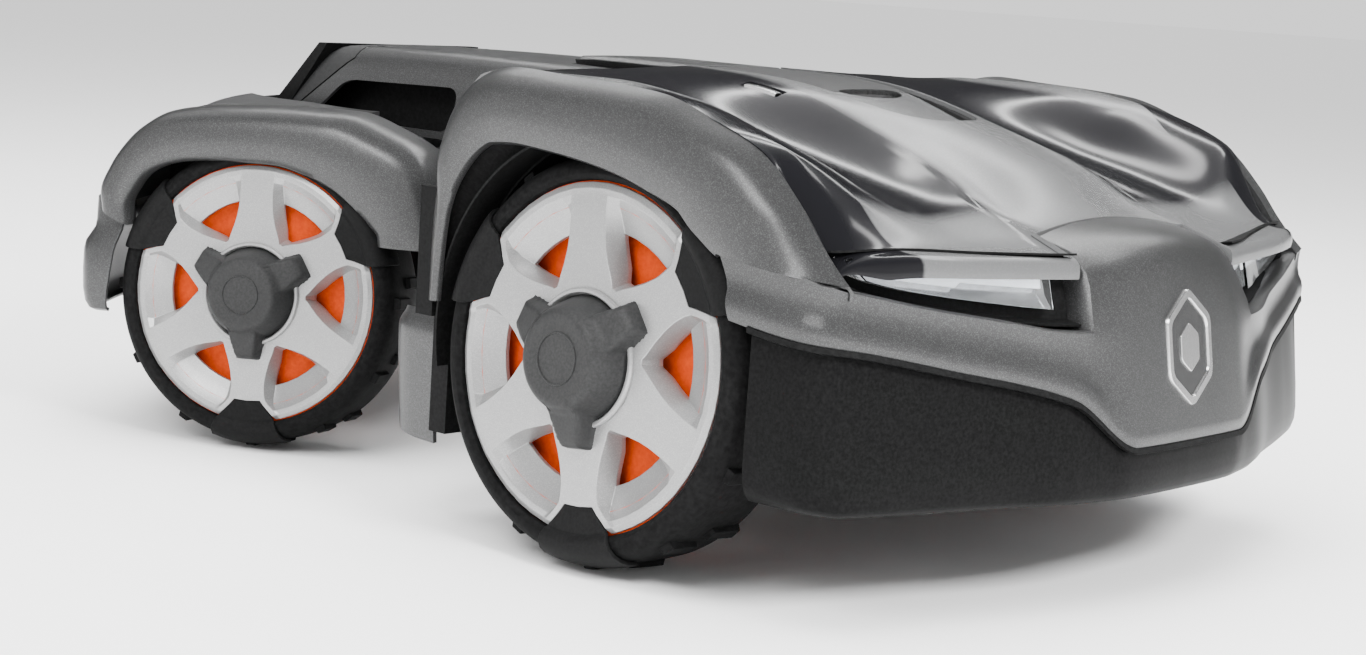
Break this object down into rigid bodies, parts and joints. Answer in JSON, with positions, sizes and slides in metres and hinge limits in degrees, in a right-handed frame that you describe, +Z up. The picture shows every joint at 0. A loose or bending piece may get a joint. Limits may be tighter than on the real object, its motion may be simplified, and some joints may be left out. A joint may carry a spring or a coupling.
{
  "type": "robotic lawn mower",
  "caption": "Robotic lawn mower with an articulated body: a wide front unit with a blade disc under it, a spine over a steered rear unit, and a hub motor in each large lugged wheel.",
  "frame": {"origin": "bottom centre of the bounding box, on the ground, with the rear unit steered as stored", "axes": "+Z up; -Y towards the nose and +Y towards the rear unit; +X towards the machine's left side"},
  "size_m": [0.5788, 0.9601, 0.291],
  "materials": {
    "tyre_black": "matte moulded rubber",
    "motor_black": "satin black",
    "rim_orange": "finely textured orange",
    "wheel_silver": "satin silver paint",
    "knob_grey": "matte dark grey",
    "frame_black": "satin black moulding",
    "body_grey": "satin granite grey with a fine metallic speckle",
    "hood_grey": "satin light grey",
    "lamp_clear": "clear lens",
    "trim_silver": "satin chrome",
    "steel": "bright steel",
    "pack_black": "moulded case",
    "board_green": "solder mask",
    "panel_black": "fine grain",
    "start_green": "moulded green",
    "stop_grey": "dark grey"
  },
  "bodies": {
    "front_body": {"front_chassis": "frame_black", "underside_plate": "frame_black", "cover_screws": "steel", "skirt": "frame_black", "nose_cover": "body_grey", "headlight_right": "lamp_clear", "headlight_left": "lamp_clear", "badge": "trim_silver", "hood": "hood_grey", "charging_contacts": "steel", "fender_front_right": "body_grey", "fender_front_left": "body_grey", "wheel_guards": "hood_grey", "arch_cover": "hood_grey", "arch_core": "frame_black", "pivot_bearing": "steel", "battery_pack": "pack_black", "control_board": "board_green", "display_panel": "panel_black", "hatch_pin": "steel", "wheel_motor_front_right": "motor_black", "wheel_motor_front_left": "motor_black"},
    "jog_dial": {"jog_dial": "panel_black"},
    "start_button": {"start_button": "start_green"},
    "power_button": {"power_button": "panel_black"},
    "display_hatch": {"display_hatch": "hood_grey"},
    "stop_button": {"stop_button": "stop_grey"},
    "cutting_unit": {"height_carriage": "frame_black", "blade_motor": "motor_black"},
    "blade_disc": {"blade_disc": "panel_black", "blade_screws": "steel"},
    "skid_plate": {"skid_plate": "panel_black"},
    "blade_1": {"blade_1": "steel"},
    "blade_2": {"blade_2": "steel"},
    "blade_3": {"blade_3": "steel"},
    "steering_yoke": {"steering_yoke": "frame_black"},
    "rear_body": {"rear_chassis": "frame_black", "fender_rear_right": "body_grey", "fender_rear_left": "body_grey", "rear_top_cover": "frame_black", "rear_apron": "hood_grey", "rear_bumper": "body_grey", "wheel_motor_rear_right": "motor_black", "wheel_motor_rear_left": "motor_black"},
    "wheel_front_right": {"tyre_front_right": "tyre_black", "rim_front_right": "rim_orange", "wheel_cap_front_right": "wheel_silver", "hub_knob_front_right": "knob_grey"},
    "wheel_front_left": {"tyre_front_left": "tyre_black", "rim_front_left": "rim_orange", "wheel_cap_front_left": "wheel_silver", "hub_knob_front_left": "knob_grey"},
    "wheel_rear_right": {"tyre_rear_right": "tyre_black", "rim_rear_right": "rim_orange", "wheel_cap_rear_right": "wheel_silver", "hub_knob_rear_right": "knob_grey"},
    "wheel_rear_left": {"tyre_rear_left": "tyre_black", "rim_rear_left": "rim_orange", "wheel_cap_rear_left": "wheel_silver", "hub_knob_rear_left": "knob_grey"}
  },
  "joints": [
    {"name": "steering", "type": "hinge", "parent": "front_body", "child": "steering_yoke", "pos_m": [0, 0.2524, 0.24], "axis": [0, 0, 1], "range_deg": [-62.67, 9.33]},
    {"name": "body_roll", "type": "hinge", "parent": "steering_yoke", "child": "rear_body", "pos_m": [0, 0.2524, 0.165], "axis": [-0.4489, 0.8936, 0], "range_deg": [-4, 4]},
    {"name": "hatch_hinge", "type": "hinge", "parent": "front_body", "child": "display_hatch", "pos_m": [0, -0.1141, 0.2874], "axis": [-1, 0, 0], "range_deg": [0, 85]},
    {"name": "stop_press", "type": "slide", "parent": "front_body", "child": "stop_button", "axis": [0, 0, -1], "range_m": [0, 0.004], "stiffness_N_per_m": 1200},
    {"name": "jog_turn", "type": "hinge", "parent": "front_body", "child": "jog_dial", "pos_m": [0, -0.2171, 0.262], "axis": [0, 0, 1], "continuous": true},
    {"name": "start_press", "type": "slide", "parent": "front_body", "child": "start_button", "axis": [0, 0, -1], "range_m": [0, 0.0015], "stiffness_N_per_m": 600},
    {"name": "power_press", "type": "slide", "parent": "front_body", "child": "power_button", "axis": [0, 0, -1], "range_m": [0, 0.0015], "stiffness_N_per_m": 600},
    {"name": "cutting_height", "type": "slide", "parent": "front_body", "child": "cutting_unit", "axis": [0, 0, 1], "range_m": [-0.02, 0.02]},
    {"name": "disc_spin", "type": "hinge", "parent": "cutting_unit", "child": "blade_disc", "pos_m": [0, -0.2991, 0.05], "axis": [0, 0, 1], "continuous": true},
    {"name": "skid_spin", "type": "hinge", "parent": "blade_disc", "child": "skid_plate", "pos_m": [0, -0.2991, 0.043], "axis": [0, 0, 1], "continuous": true},
    {"name": "blade_1_pivot", "type": "hinge", "parent": "blade_disc", "child": "blade_1", "pos_m": [0, -0.2191, 0.047], "axis": [0, 0, 1], "continuous": true},
    {"name": "blade_2_pivot", "type": "hinge", "parent": "blade_disc", "child": "blade_2", "pos_m": [-0.06928, -0.3391, 0.047], "axis": [0, 0, 1], "continuous": true},
    {"name": "blade_3_pivot", "type": "hinge", "parent": "blade_disc", "child": "blade_3", "pos_m": [0.06928, -0.3391, 0.047], "axis": [0, 0, 1], "continuous": true},
    {"name": "wheel_front_right_spin", "type": "hinge", "parent": "front_body", "child": "wheel_front_right", "pos_m": [-0.2646, -0.2291, 0.1267], "axis": [0.9976, 0, -0.0698], "continuous": true},
    {"name": "wheel_front_left_spin", "type": "hinge", "parent": "front_body", "child": "wheel_front_left", "pos_m": [0.2646, -0.2291, 0.1267], "axis": [0.9976, 0, 0.0698], "continuous": true},
    {"name": "wheel_rear_right_spin", "type": "hinge", "parent": "rear_body", "child": "wheel_rear_right", "pos_m": [-0.21402, 0.1449, 0.1105], "axis": [0.8914, 0.4478, -0.0698], "continuous": true},
    {"name": "wheel_rear_left_spin", "type": "hinge", "parent": "rear_body", "child": "wheel_rear_left", "pos_m": [0.21402, 0.3599, 0.1105], "axis": [0.8914, 0.4478, 0.0698], "continuous": true}
  ]
}
